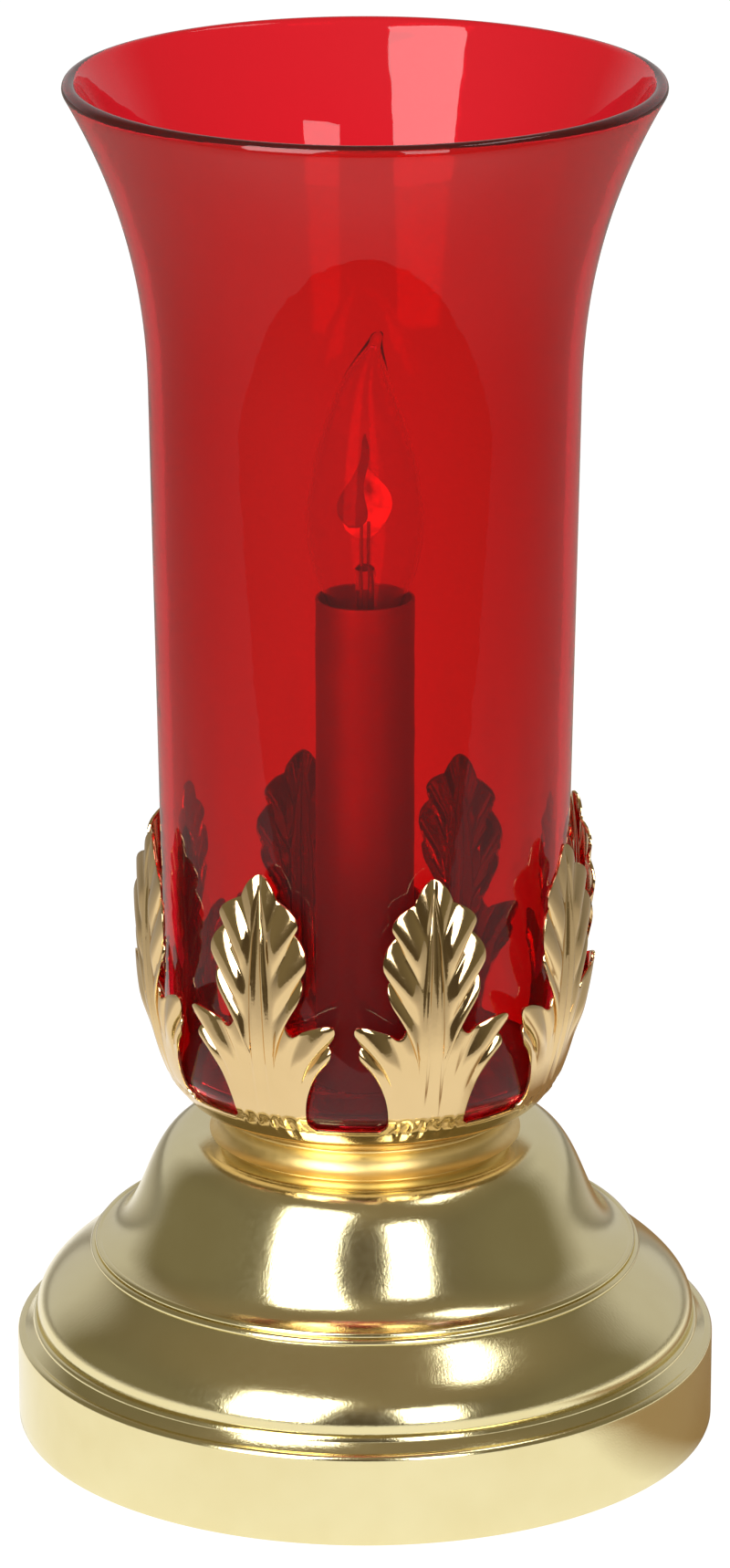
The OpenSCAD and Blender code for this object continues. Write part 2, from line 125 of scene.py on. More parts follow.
# Speckle: noise of a given scale, spread between a low and a high value
speckle, entry, leave, place = new_group("speckle", {"Scale": 1000, "Low": 0, "High": 1}, "Value")
cloud = add_node(speckle, "ShaderNodeTexNoise", {"Detail": 3, "Roughness": 0.6})
spread = add_node(speckle, "ShaderNodeMapRange", {"From Min": 0.3, "From Max": 0.7})
speckle.links.new(place, cloud.inputs["Vector"])
speckle.links.new(entry.outputs["Scale"], cloud.inputs["Scale"])
speckle.links.new(cloud.outputs[0], spread.inputs["Value"])
speckle.links.new(entry.outputs["Low"], spread.inputs["To Min"])
speckle.links.new(entry.outputs["High"], spread.inputs["To Max"])
speckle.links.new(spread.outputs[0], leave.inputs["Value"])


def use_group(tree, group, **inputs):
    """Places a shader group, sets its values and returns what it puts out."""
    placed = add_node(tree, "ShaderNodeGroup", node_tree=group)
    for key, value in inputs.items():
        placed.inputs[key].default_value = value
    return placed.outputs[0]


def vary_roughness(tree, shader, scale, low, high):
    """Mottles the roughness between two values."""
    tree.links.new(use_group(tree, speckle, Scale=scale, Low=low, High=high),
                   shader.inputs["Roughness"])


def vary_colour(tree, shader, scale, dark, light):
    """Mottles the base colour between two tones."""
    mix = add_node(tree, "ShaderNodeMix", data_type="RGBA")
    mix.inputs["A"].default_value = (*dark, 1)
    mix.inputs["B"].default_value = (*light, 1)
    tree.links.new(use_group(tree, speckle, Scale=scale), mix.inputs["Factor"])
    tree.links.new(mix.outputs["Result"], shader.inputs["Base Color"])


def raise_surface(tree, shader, height, depth, strength=1.0):
    """Feeds a height, worth so many millimetres, into the shader's normal."""
    bump = add_node(tree, "ShaderNodeBump", {"Strength": strength, "Distance": depth * MM})
    tree.links.new(height, bump.inputs["Height"])
    tree.links.new(bump.outputs["Normal"], shader.inputs["Normal"])


felt, tree, shader = new_material("green_felt", Roughness=0.95, Sheen_Weight=0.6)
vary_colour(tree, shader, 900, (0.010, 0.045, 0.022), (0.035, 0.12, 0.06))
raise_surface(tree, shader, use_group(tree, speckle, Scale=2600), 0.4)

felt_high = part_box("felt_pad")[1]
felt_r = felt_high.x / MM
felt_t = felt_high.z / MM
felt_outline = [(0, 0), (felt_r - 0.5, 0), (felt_r - 0.1, 0.3), (felt_r, 0.8),
                (felt_r - 0.2, felt_t - 0.1), (felt_r - 0.6, felt_t), (0, felt_t)]
make_piece("felt_pad_disc", spin_outline(felt_outline, 128, closed=False),
           "lamp_base", "felt_pad", felt)


# ---- Bottom board and cast weight --------------------------------------------
# A disc of brown hardboard closes the base, and a rough iron casting sits over
# it, clamped on the centre pipe between two nuts.


def dress(material, *nodes):
    """Gives CAD nodes that stay as they are their material."""
    for name in nodes:
        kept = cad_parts[name]
        if not kept.material_slots:
            kept.data.materials.append(material)
        for place in kept.material_slots:
            place.material = material


hardboard, tree, shader = new_material("hardboard", Roughness=0.7)
vary_colour(tree, shader, 420, (0.14, 0.075, 0.035), (0.27, 0.16, 0.085))
raise_surface(tree, shader, use_group(tree, speckle, Scale=1500), 0.15)
dress(hardboard, "bottom_board")

cast_iron, tree, shader = new_material("cast_iron", Metallic=0.6)
vary_colour(tree, shader, 160, (0.05, 0.05, 0.055), (0.13, 0.13, 0.135))
vary_roughness(tree, shader, 500, 0.5, 0.8)
raise_surface(tree, shader, use_group(tree, speckle, Scale=700), 0.4)
dress(cast_iron, "base_weight")


# ---- Centre pipe, nuts and bracket -------------------------------------------
# Zinc-plated steel: a threaded pipe holds weight, shell, ring and gallery in
# one stack between pressed nuts, and carries the socket's strap bracket.

THREAD_PITCH = 1.06

plated_steel, tree, shader = new_material("plated_steel", Metallic=1.0)
vary_colour(tree, shader, 240, (0.42, 0.43, 0.44), (0.60, 0.61, 0.62))
vary_roughness(tree, shader, 1200, 0.25, 0.42)
raise_surface(tree, shader, use_group(tree, speckle, Scale=1800), 0.05)
dress(plated_steel, "weight_nuts", "shell_nut", "crown_nut", "socket_bracket",
      "bracket_screw", "terminal_screws")

threaded_steel, tree, shader = new_material("threaded_steel", Metallic=1.0)
vary_colour(tree, shader, 240, (0.40, 0.41, 0.42), (0.55, 0.56, 0.57))
vary_roughness(tree, shader, 1200, 0.28, 0.45)
place = add_node(tree, "ShaderNodeTexCoord")
turns = add_node(tree, "ShaderNodeTexWave", {"Scale": 0.31 / (THREAD_PITCH * MM)},
                 wave_type="BANDS", bands_direction="Z")
tree.links.new(place.outputs["Object"], turns.inputs["Vector"])
raise_surface(tree, shader, turns.outputs["Fac"], 0.5)
dress(threaded_steel, "center_pipe")


# ---- Leads and connectors ------------------------------------------------------
# Two plastic-covered leads, one black and one white, run from the socket down
# the pipe and end in twist-on connectors that lie on the board.

for name, node, dark, light in (
        ("black_lead_cover", "line_lead", (0.012, 0.012, 0.013), (0.03, 0.03, 0.032)),
        ("white_lead_cover", "neutral_lead", (0.62, 0.61, 0.58), (0.78, 0.77, 0.74)),
        ("moulded_orange", "wire_connectors", (0.62, 0.17, 0.02), (0.78, 0.26, 0.04))):
    cover, tree, shader = new_material(name)
    vary_colour(tree, shader, 300, dark, light)
    vary_roughness(tree, shader, 900, 0.32, 0.5)
    raise_surface(tree, shader, use_group(tree, speckle, Scale=1600), 0.05)
    dress(cover, node)


# ---- Base shell ----------------------------------------------------------------
# The base is one brass sheet spun on a former: a straight band, a ledge, two
# domes with a raised double bead between them, and a flat top. It has a satin
# lacquered finish, and a hole at the back for the cord's bush.


def bezier(a, b, c, d, count=24):
    """Points along a cubic curve, without its first point."""
    line = []
    for i in range(1, count + 1):
        t = i / count
        s = 1 - t
        line.append(tuple(s ** 3 * a[k] + 3 * s * s * t * b[k] + 3 * s * t * t * c[k] + t ** 3 * d[k]
                          for k in (0, 1)))
    return line


shell_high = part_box("base_shell")[1]
base_r = shell_high.x / MM
base_top = shell_high.z / MM
SHEET = 0.9
BAND_TOP = 22.0
EDGE_R = 1.15
LEDGE_R = base_r - 4.7
LEDGE_Z = BAND_TOP + 2.3
BEAD_R = 61.7
BEAD_Z = 42.5
TOP_R = 39.8
STEM_HOLE = 5.1

slope = math.radians(49.5)
outward = Vector((math.sin(slope), math.cos(slope)))
uphill = Vector((-math.cos(slope), math.sin(slope)))


def bead_point(along, height):
    """A point so far up the bead's slope and so high above it."""
    at = Vector((BEAD_R, BEAD_Z)) + along * uphill + height * outward
    return at.x, at.y


def ridge(middle, width, height, count=8):
    """A half-round ridge across the bead's slope."""
    return [bead_point(middle - math.cos(math.pi * i / count) * width / 2,
                       math.sin(math.pi * i / count) * height) for i in range(count + 1)]


bead_foot = bead_point(-1.8, 0)
bead_head = bead_point(1.8, 0)
lower_dome = bezier((LEDGE_R, LEDGE_Z + 0.9), (LEDGE_R + 1.5, LEDGE_Z + 7.4),
                    (BEAD_R + 6.1, BEAD_Z - 6.1), bead_foot, 30)
upper_dome = bezier(bead_head, (BEAD_R - 11.6, BEAD_Z + 4.0), (TOP_R + 11.5, base_top - 1.8),
                    (TOP_R, base_top), 40)
ledge_ridge = [(LEDGE_R + 1.2, LEDGE_Z - 0.35), (LEDGE_R + 1.15, LEDGE_Z + 0.1),
               (LEDGE_R + 0.85, LEDGE_Z + 0.55), (LEDGE_R + 0.4, LEDGE_Z + 0.72),
               (LEDGE_R, LEDGE_Z + 0.55)]
shell_outside = (
    [(base_r - 3, 0.6), (base_r - 0.6, 0.6), (base_r - 0.17, 0.77), (base_r, 1.2)]
    + [(base_r, 1.2 + (BAND_TOP - EDGE_R - 1.2) * i / 8) for i in range(1, 8)]
    + arc(base_r - EDGE_R, BAND_TOP - EDGE_R, EDGE_R, 0, 100, 10)
    + [(base_r - 1.7, BAND_TOP + 0.02), (base_r - 2.2, BAND_TOP + 0.5), (base_r - 3.0, BAND_TOP + 1.35)]
    + ledge_ridge + [(LEDGE_R, LEDGE_Z + 0.9)] + lower_dome
    + ridge(-0.85, 1.7, 0.75) + ridge(0.85, 1.7, 0.8)[1:] + upper_dome
    + [(STEM_HOLE, base_top)])
inside_bead = (BEAD_R - 1.5, BEAD_Z + 0.4)
shell_inside = (
    [(STEM_HOLE, base_top - SHEET), (TOP_R - 0.4, base_top - SHEET)]
    + bezier((TOP_R - 0.4, base_top - SHEET), (TOP_R + 10.6, base_top - 2.6),
             (BEAD_R - 12.5, BEAD_Z + 3.5), inside_bead, 16)
    + bezier(inside_bead, (BEAD_R + 5.3, BEAD_Z - 6.5), (LEDGE_R + 0.6, LEDGE_Z + 7),
             (LEDGE_R - 0.9, LEDGE_Z + 0.6), 12)
    + [(base_r - 2.6, BAND_TOP - SHEET), (base_r - 1.2, BAND_TOP - 1.4),
       (base_r - SHEET, BAND_TOP - 2.2), (base_r - SHEET, 2.2), (base_r - 1.3, 1.5), (base_r - 3, 1.5)])


def satin_brass(name, dark, light, low, high, grain, depth):
    """Brass with a fine lacquered grain; low and high bound its roughness."""
    material, tree, shader = new_material(name, Metallic=1.0)
    vary_colour(tree, shader, 45, dark, light)
    vary_roughness(tree, shader, 700, low, high)
    raise_surface(tree, shader, use_group(tree, speckle, Scale=grain), depth)
    return material


spun_brass = satin_brass("spun_brass", (0.80, 0.71, 0.40), (0.84, 0.76, 0.45),
                         0.11, 0.15, 1900, 0.009)


def cut_away(piece, cutter):
    """Cuts one mesh out of a piece and throws the cutter away."""
    knife_mesh = bpy.data.meshes.new("knife")
    cutter.to_mesh(knife_mesh)
    cutter.free()
    knife = bpy.data.objects.new("knife", knife_mesh)
    bpy.context.scene.collection.objects.link(knife)
    cut = piece.modifiers.new("cut", "BOOLEAN")
    cut.operation = "DIFFERENCE"
    cut.solver = "EXACT"
    cut.object = knife
    seen = piece.evaluated_get(bpy.context.evaluated_depsgraph_get())
    mesh = bpy.data.meshes.new_from_object(seen)
    piece.modifiers.clear()
    piece.data = mesh
    bpy.data.objects.remove(knife)


bush_low, bush_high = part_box("cord_bushing")
inlet_z = (bush_low.z + bush_high.z) / 2
INLET_BORE = 3.2
INLET_WALL = 1.2

base_shell = make_piece("spun_base", spin_outline(shell_outside + shell_inside, 256),
                        "lamp_base", "base_shell", spun_brass, crease=30)
drill = bmesh.new()
bmesh.ops.create_cone(drill, cap_ends=True, segments=48, depth=12 * MM,
                      radius1=(INLET_BORE + INLET_WALL + 0.1) * MM,
                      radius2=(INLET_BORE + INLET_WALL + 0.1) * MM)
bmesh.ops.rotate(drill, verts=drill.verts, cent=(0, 0, 0), matrix=Matrix.Rotation(math.pi / 2, 3, "X"))
bmesh.ops.translate(drill, verts=drill.verts, vec=(0, bush_high.y, inlet_z))
cut_away(base_shell, drill)


# ---- Cord bush -----------------------------------------------------------------
# A black nylon bush snapped into the band at the back. Its mouth is rounded so
# that the cord isn't cut by the brass edge.

nylon, tree, shader = new_material("black_nylon")
vary_colour(tree, shader, 500, (0.012, 0.012, 0.013), (0.03, 0.03, 0.031))
vary_roughness(tree, shader, 900, 0.35, 0.5)
raise_surface(tree, shader, use_group(tree, speckle, Scale=1400), 0.04)

bush_len = (bush_high.y - bush_low.y) / MM
tube_r = INLET_BORE + INLET_WALL
head_r = tube_r + 1.5
bush_outline = ([(INLET_BORE, 0.0), (INLET_BORE, bush_len - 0.9)]
                + arc(INLET_BORE + 0.6, bush_len - 0.6, 0.6, 180, 0, 8)
                + [(tube_r, bush_len - 1.5), (head_r - 0.3, bush_len - 1.5),
                   (head_r, bush_len - 1.8), (head_r, 0.3), (head_r - 0.3, 0)])
bush = spin_outline(bush_outline, 48)
bmesh.ops.rotate(bush, verts=bush.verts, cent=(0, 0, 0), matrix=Matrix.Rotation(-math.pi / 2, 3, "X"))
bmesh.ops.translate(bush, verts=bush.verts, vec=(0, bush_low.y, inlet_z))
make_piece("cord_bush", bush, "lamp_base", "cord_bushing", nylon)


# ---- Neck ring -----------------------------------------------------------------
# A waisted brass ring, turned and lacquered, between the shell and the gallery.
# A fine bead runs round its top, just under the gallery's dish.

turning, entry, leave, place = new_group("turning_lines", {"Scale": 1000, "Low": 0, "High": 1}, "Value")
split = add_node(turning, "ShaderNodeSeparateXYZ")
flat = add_node(turning, "ShaderNodeCombineXYZ")
length = add_node(turning, "ShaderNodeVectorMath", operation="LENGTH")
ring = add_node(turning, "ShaderNodeCombineXYZ")
lines = add_node(turning, "ShaderNodeTexNoise", {"Detail": 2, "Roughness": 0.7})
spread = add_node(turning, "ShaderNodeMapRange", {"From Min": 0.3, "From Max": 0.7})
turning.links.new(place, split.inputs[0])
turning.links.new(split.outputs["X"], flat.inputs["X"])
turning.links.new(split.outputs["Y"], flat.inputs["Y"])
turning.links.new(flat.outputs[0], length.inputs[0])
turning.links.new(length.outputs["Value"], ring.inputs["X"])
turning.links.new(split.outputs["Z"], ring.inputs["Z"])
turning.links.new(ring.outputs[0], lines.inputs["Vector"])
turning.links.new(entry.outputs["Scale"], lines.inputs["Scale"])
turning.links.new(lines.outputs[0], spread.inputs["Value"])
turning.links.new(entry.outputs["Low"], spread.inputs["To Min"])
turning.links.new(entry.outputs["High"], spread.inputs["To Max"])
turning.links.new(spread.outputs[0], leave.inputs["Value"])

turned_brass, tree, shader = new_material("turned_brass", Metallic=1.0)
vary_colour(tree, shader, 60, (0.76, 0.55, 0.20), (0.82, 0.62, 0.27))
vary_roughness(tree, shader, 500, 0.34, 0.42)
raise_surface(tree, shader, use_group(tree, turning, Scale=1200), 0.003)

neck_low, neck_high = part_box("neck_ring")
ring_foot = neck_low.z / MM
ring_top = neck_high.z / MM
RING_R = 34.3
waist_z = ring_foot + 3.4
ring_outline = (
    [(RING_R + 1.2, ring_foot), (RING_R + 1.2, ring_foot + 0.15)]
    + bezier((RING_R + 1.2, ring_foot + 0.15), (RING_R - 0.5, ring_foot + 0.7),
             (RING_R - 1.3, waist_z - 1.5), (RING_R - 1.4, waist_z), 12)
    + bezier((RING_R - 1.4, waist_z), (RING_R - 1.4, waist_z + 1.2),
             (RING_R - 1.1, ring_top - 1.9), (RING_R - 0.7, ring_top - 1.5), 8)
    + arc(RING_R - 0.6, ring_top - 1.15, 0.45, -60, 100, 8)
    + [(RING_R - 1.6, ring_top - 0.7), (RING_R - 2.0, ring_top), (STEM_HOLE, ring_top),
       (STEM_HOLE, ring_top - 1), (RING_R - 3.2, ring_top - 1), (RING_R - 3.2, ring_foot + 1.8),
       (RING_R - 0.2, ring_foot + 0.15), (RING_R - 0.2, ring_foot)])
make_piece("turned_ring", spin_outline(ring_outline, 192),
           "lamp_base", "neck_ring", turned_brass, crease=30)


# ---- Leaf gallery ----------------------------------------------------------------
# One pressed brass sheet: a dish that the globe stands in, and eight leaves bent
# up round it. Each leaf has a double midrib, puffed pleats with sharp valleys
# between them, and two fingers on each side at its foot.

LEAVES = 8
FIRST_LEAF = 17.5            # degrees from the front
HALF_LEAF = 16.9
crown_low, crown_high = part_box("crown")
dish_z = crown_low.z / MM
leaf_top = crown_high.z / MM
RIM_R = 44.4
RIM_Z = dish_z + 7.5
FOLD_Z = RIM_Z + 2.3
LEAF_SHEET = 0.7
PROUD = 0.35                 # how far a foot stands out above the fold
wall = [(RIM_R, RIM_Z)] + bezier((RIM_R, RIM_Z), (RIM_R + 5.5, RIM_Z + 9.9),
                                 (RIM_R + 8.7, RIM_Z + 34.6), (RIM_R + 5.3, leaf_top), 40)


def wall_radius(z):
    """Radius of the gallery's bowed wall at a height."""
    for (r0, z0), (r1, z1) in zip(wall, wall[1:]):
        if z <= z1:
            return r0 + (r1 - r0) * (z - z0) / (z1 - z0)
    return wall[-1][0]


# Each valley runs from its root by the midrib, past a bend, to a notch in the outline. Shares of
# the half width and of the height above the fold. Then the tip of the puff above it, how far the
# puff stands out in millimetres, and the share of its length over which the puff has died away.
FOOT = (RIM_Z - FOLD_Z) / (leaf_top - FOLD_Z)
valleys = [
    ((0.52, FOOT), (0.52, 0.15), (0.88, 0.26), (0.98, 0.31), 0.80, 0.50),
    ((0.40, FOOT), (0.42, 0.19), (0.94, 0.345), (1.03, 0.43), 1.20, 0.38),
    ((0.17, FOOT), (0.26, 0.20), (0.60, 0.395), (0.46, 0.375), 0.40, 0.40),
    ((0.16, 0.16), (0.18, 0.30), (0.36, 0.42), (0.60, 0.53), 0.75, 0.05),
    ((0.16, 0.40), (0.36, 0.48), (0.61, 0.612), (0.70, 0.70), 1.00, 0.05),
    ((0.14, 0.548), (0.31, 0.65), (0.52, 0.783), (0.55, 0.85), 0.90, 0.05),
    ((0.09, 0.735), (0.16, 0.80), (0.265, 0.905), (0.15, 0.97), 0.45, 0.05),
    ((0.0, 0.95), (0.0, 0.97), (0.0, 1.0), None, 0, 0)]
PUFF_ROWS = 11
REACH = 20


def blend_points(a, b, t):
    """A point part of the way from one to another."""
    return tuple(x + (y - x) * t for x, y in zip(a, b))


def quadratic(a, b, c, t):
    """A point on the curve from a to c that is pulled towards b."""
    return tuple((1 - t) ** 2 * x + 2 * t * (1 - t) * y + t * t * z for x, y, z in zip(a, b, c))


def leaf_point(across, along):
    """Where a point of the half leaf lies, and how far it is pushed out. across counts the
    valleys, and along goes from the root to the outline."""
    k = min(int(across), len(valleys) - 2)
    p = across - k
    root, bend, notch, tip, puff, start = valleys[k]
    next_root, next_bend, next_notch = valleys[k + 1][:3]
    middle = tuple(2 * t - (n + m) / 2 for t, n, m in zip(tip, notch, next_notch))
    edge = quadratic(notch, middle, next_notch, p)
    x, y = quadratic(blend_points(root, next_root, p), blend_points(bend, next_bend, p), edge, along)
    swell = min(max((along - start) / 0.35, 0), 1)
    swell = swell * swell * (3 - 2 * swell)
    return x, y, puff * swell * (1 - (2 * p - 1) ** 2)


def rib_height(share, width, y):
    """Height of the double midrib: a flat valley on the middle line and a crest beside it."""
    fade = min(max((1 - y) / 0.25, 0), 1) * min(max((y + 0.02) / 0.3, 0.25), 1) * min(width / 0.12, 1)
    bump = min(max((share - 0.3) / 0.64, 0), 1)
    return fade * 0.75 * math.sin(math.pi * bump) ** 1.4


def bend_to_wall(x, y, out):
    """Puts a point of the flat leaf on the gallery's bowed wall, at the front of the lamp."""
    z = FOLD_Z + y * (leaf_top - FOLD_Z)
    r = wall_radius(z) + out + PROUD * min(max((y + 0.012) / 0.016, 0), 1)
    corner = min(max((y - FOOT) / 0.03, 0), 1)
    x = x * HALF_LEAF * (1 + 0.16 * (1 - corner) ** 2)
    return Vector((x, -math.sqrt(r * r - x * x), z)) * MM


gallery = bmesh.new()
spans = len(valleys) - 1
bmesh.ops.create_grid(gallery, x_segments=spans * PUFF_ROWS, y_segments=REACH, size=0.5)
for vert in gallery.verts:
    x, y, out = leaf_point((vert.co.x + 0.5) * spans, vert.co.y + 0.5)
    vert.co = bend_to_wall(x, y, out)

# The midrib strip takes its rows from the roots of the pleats, so that the two weld
RIB_COLUMNS = 6
rib_rows = (spans - 2) * PUFF_ROWS
rib = bmesh.new()
bmesh.ops.create_grid(rib, x_segments=rib_rows, y_segments=RIB_COLUMNS, size=0.5)
for vert in rib.verts:
    share = vert.co.y + 0.5
    x, y, out = leaf_point(2 + (vert.co.x + 0.5) * (spans - 2), 0)
    vert.co = bend_to_wall(x * share, y, rib_height(share, x, y))
rib_mesh = bpy.data.meshes.new("rib")
rib.to_mesh(rib_mesh)
rib.free()
gallery.from_mesh(rib_mesh)
bpy.data.meshes.remove(rib_mesh)
bmesh.ops.remove_doubles(gallery, verts=gallery.verts, dist=0.02 * MM)
bmesh.ops.mirror(gallery, geom=gallery.verts[:] + gallery.edges[:] + gallery.faces[:],
                 matrix=Matrix.Identity(4), merge_dist=0.02 * MM, axis="X")
bmesh.ops.remove_doubles(gallery, verts=gallery.verts, dist=0.01 * MM)

# The free rim between this leaf and the next, as an open line on the dish's edge
corner = max((v.co for v in gallery.verts if v.co.z < (RIM_Z + 0.001) * MM), key=lambda co: co.x)
half_foot = math.atan2(corner.x, -corner.y)
GAP_STEPS = 24
last = min(gallery.verts, key=lambda v: (v.co - corner).length)
for i in range(1, GAP_STEPS + 1):
    turn = half_foot + (math.tau / LEAVES - 2 * half_foot) * i / GAP_STEPS
    spot = gallery.verts.new((RIM_R * MM * math.sin(turn), -RIM_R * MM * math.cos(turn), RIM_Z * MM))
    gallery.edges.new((last, spot))
    last = spot
bmesh.ops.rotate(gallery, verts=gallery.verts, cent=(0, 0, 0),
                 matrix=Matrix.Rotation(math.radians(FIRST_LEAF), 3, "Z"))
bmesh.ops.spin(gallery, geom=gallery.verts[:] + gallery.edges[:] + gallery.faces[:], cent=(0, 0, 0),
               axis=AXIS, angle=math.tau * (LEAVES - 1) / LEAVES, steps=LEAVES - 1, use_duplicate=True)
bmesh.ops.remove_doubles(gallery, verts=gallery.verts, dist=0.02 * MM)

# The dish is drawn in from the rim, ring by ring, to the hole for the pipe
dish = [(RIM_R - 0.75, RIM_Z - 1.2), (RIM_R - 1.9, RIM_Z - 2.7), (RIM_R - 2.4, RIM_Z - 3.5),
        (RIM_R - 3.2, RIM_Z - 4.4), (RIM_R - 4.4, RIM_Z - 5.2), (RIM_R - 6.0, RIM_Z - 6.0),
        (RIM_R - 7.1, dish_z + 1.05), (RIM_R - 7.9, dish_z + 0.8), (RIM_R - 8.4, dish_z + 0.5),
        (RIM_R - 8.7, dish_z), (RIM_R - 14.4, dish_z), (STEM_HOLE, dish_z)]
loop = [e for e in gallery.edges if all(abs(v.co.z - RIM_Z * MM) < 1e-6 for v in e.verts)
        and len(e.link_faces) < 2]
for r, z in dish:
    drawn = bmesh.ops.extrude_edge_only(gallery, edges=loop)["geom"]
    for vert in (g for g in drawn if isinstance(g, bmesh.types.BMVert)):
        flat = Vector((vert.co.x, vert.co.y, 0)).normalized() * r * MM
        vert.co = (flat.x, flat.y, z * MM)
    loop = [g for g in drawn if isinstance(g, bmesh.types.BMEdge)
            and all(abs(v.co.z - z * MM) < 1e-7 and abs(v.co.xy.length - r * MM) < 1e-6
                    for v in g.verts)]

# Five short flutes pressed across each foot, over the fold
FLUTE_STEP = 3.2
for vert in gallery.verts:
    z = vert.co.z / MM
    side = math.degrees(math.atan2(vert.co.x, -vert.co.y)) - FIRST_LEAF
    side = (side + 180 / LEAVES) % (360 / LEAVES) - 180 / LEAVES
    x = math.radians(side) * RIM_R
    off = x - FLUTE_STEP * round(x / FLUTE_STEP)
    if abs(x) < 2.5 * FLUTE_STEP and abs(off) < 0.8 and RIM_Z - 2 < z < FOLD_Z + 0.2:
        rise = math.sin(math.pi * (z - RIM_Z + 2) / (FOLD_Z - RIM_Z + 2.2)) ** 0.7
        swell = 0.4 * MM * rise * math.cos(off * math.pi / 1.6)
        vert.co += Vector((vert.co.x, vert.co.y, 0)).normalized() * swell
bmesh.ops.recalc_face_normals(gallery, faces=gallery.faces)

leaf_brass = satin_brass("leaf_brass", (0.74, 0.545, 0.28), (0.78, 0.58, 0.31),
                         0.07, 0.11, 900, 0.004)
leaf_gallery = make_piece("leaf_gallery", gallery, "lamp_base", "crown", leaf_brass,
                          crease=75)
sheet = leaf_gallery.modifiers.new("sheet", "SOLIDIFY")
sheet.thickness = LEAF_SHEET * MM
sheet.offset = -1
sheet.use_even_offset = False
rounding = leaf_gallery.modifiers.new("rounding", "BEVEL")
rounding.limit_method = "ANGLE"
rounding.angle_limit = math.radians(70)
rounding.width = 0.16 * MM
rounding.segments = 2


# ---- Candle seat and socket ------------------------------------------------------
# A small brass seat centres the candle cover on the bracket. The socket is a
# phenolic body in a paper sleeve, with a threaded brass shell and a contact.

brass_fitting = satin_brass("brass_fitting", (0.72, 0.52, 0.20), (0.79, 0.60, 0.26), 0.2, 0.3, 900, 0.01)
dress(brass_fitting, "candle_seat", "socket_contact")

phenolic, tree, shader = new_material("brown_phenolic")
vary_colour(tree, shader, 380, (0.045, 0.018, 0.008), (0.11, 0.045, 0.02))
vary_roughness(tree, shader, 800, 0.3, 0.45)
dress(phenolic, "socket_body")

paper, tree, shader = new_material("liner_paper", Roughness=0.85)
vary_colour(tree, shader, 700, (0.36, 0.25, 0.14), (0.5, 0.37, 0.22))
raise_surface(tree, shader, use_group(tree, speckle, Scale=2500), 0.05)
dress(paper, "socket_liner")

SCREW_PITCH = 2.54


def cut_thread(bm, depth, top, bottom):
    """Rolls a screw thread into a spun tube between two heights, in millimetres."""
    for vert in bm.verts:
        z = vert.co.z / MM
        ends = min(max(min(top - z, z - bottom), 0) / 1.2, 1)
        turn = math.atan2(vert.co.y, vert.co.x) / math.tau
        wave = math.cos(math.tau * (z / SCREW_PITCH - turn))
        out = vert.co.xy.length + depth / 2 * ends * (wave - 1) * MM
        vert.co.xy = vert.co.xy.normalized() * out


def threaded_tube(outer, inner, bottom, top, depth):
    """A thin tube with a rolled thread, as a closed bmesh."""
    rows = int((top - bottom) / 0.25)
    levels = [bottom + (top - bottom) * i / rows for i in range(rows + 1)]
    bm = spin_outline([(outer, z) for z in levels] + [(inner, z) for z in reversed(levels)], 64)
    cut_thread(bm, depth, top, bottom)
    return bm


low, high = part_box("socket_shell")
socket_r = high.x / MM
make_piece("socket_thread", threaded_tube(socket_r, socket_r - 0.35, low.z / MM, high.z / MM, 0.25),
           "lamp_base", "socket_shell", brass_fitting)


# ---- Candle cover ----------------------------------------------------------------
# A plain dull brass tube over the socket, standing loose on its seat. Its top
# edge is rounded over.

low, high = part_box("candle_sleeve")
sleeve_r = high.x / MM
sleeve_foot = low.z / MM
sleeve_top = high.z / MM
SLEEVE_WALL = 0.7
LIP = 0.35
sleeve_outline = (
    [(sleeve_r - 0.15, sleeve_foot), (sleeve_r, sleeve_foot + 0.15)]
    + [(sleeve_r, sleeve_foot + (sleeve_top - LIP - sleeve_foot) * i / 12) for i in range(1, 12)]
    + arc(sleeve_r - LIP, sleeve_top - LIP, LIP, 0, 180, 12)
    + [(sleeve_r - SLEEVE_WALL, sleeve_foot + (sleeve_top - 3 - sleeve_foot) * (1 - i / 6))
       for i in range(7)])
candle_brass = satin_brass("candle_brass", (0.29, 0.22, 0.105), (0.33, 0.25, 0.125),
                           0.5, 0.58, 1400, 0.004)
make_piece("candle_cover", spin_outline(sleeve_outline, 128),
           "candle", "candle_sleeve", candle_brass, crease=30)


# ---- Flame bulb --------------------------------------------------------------------
# A flicker bulb: clear blown glass drawn to a bent tip, a glass stem with two
# wires, and two flame-shaped plates, of which the rear one glows.


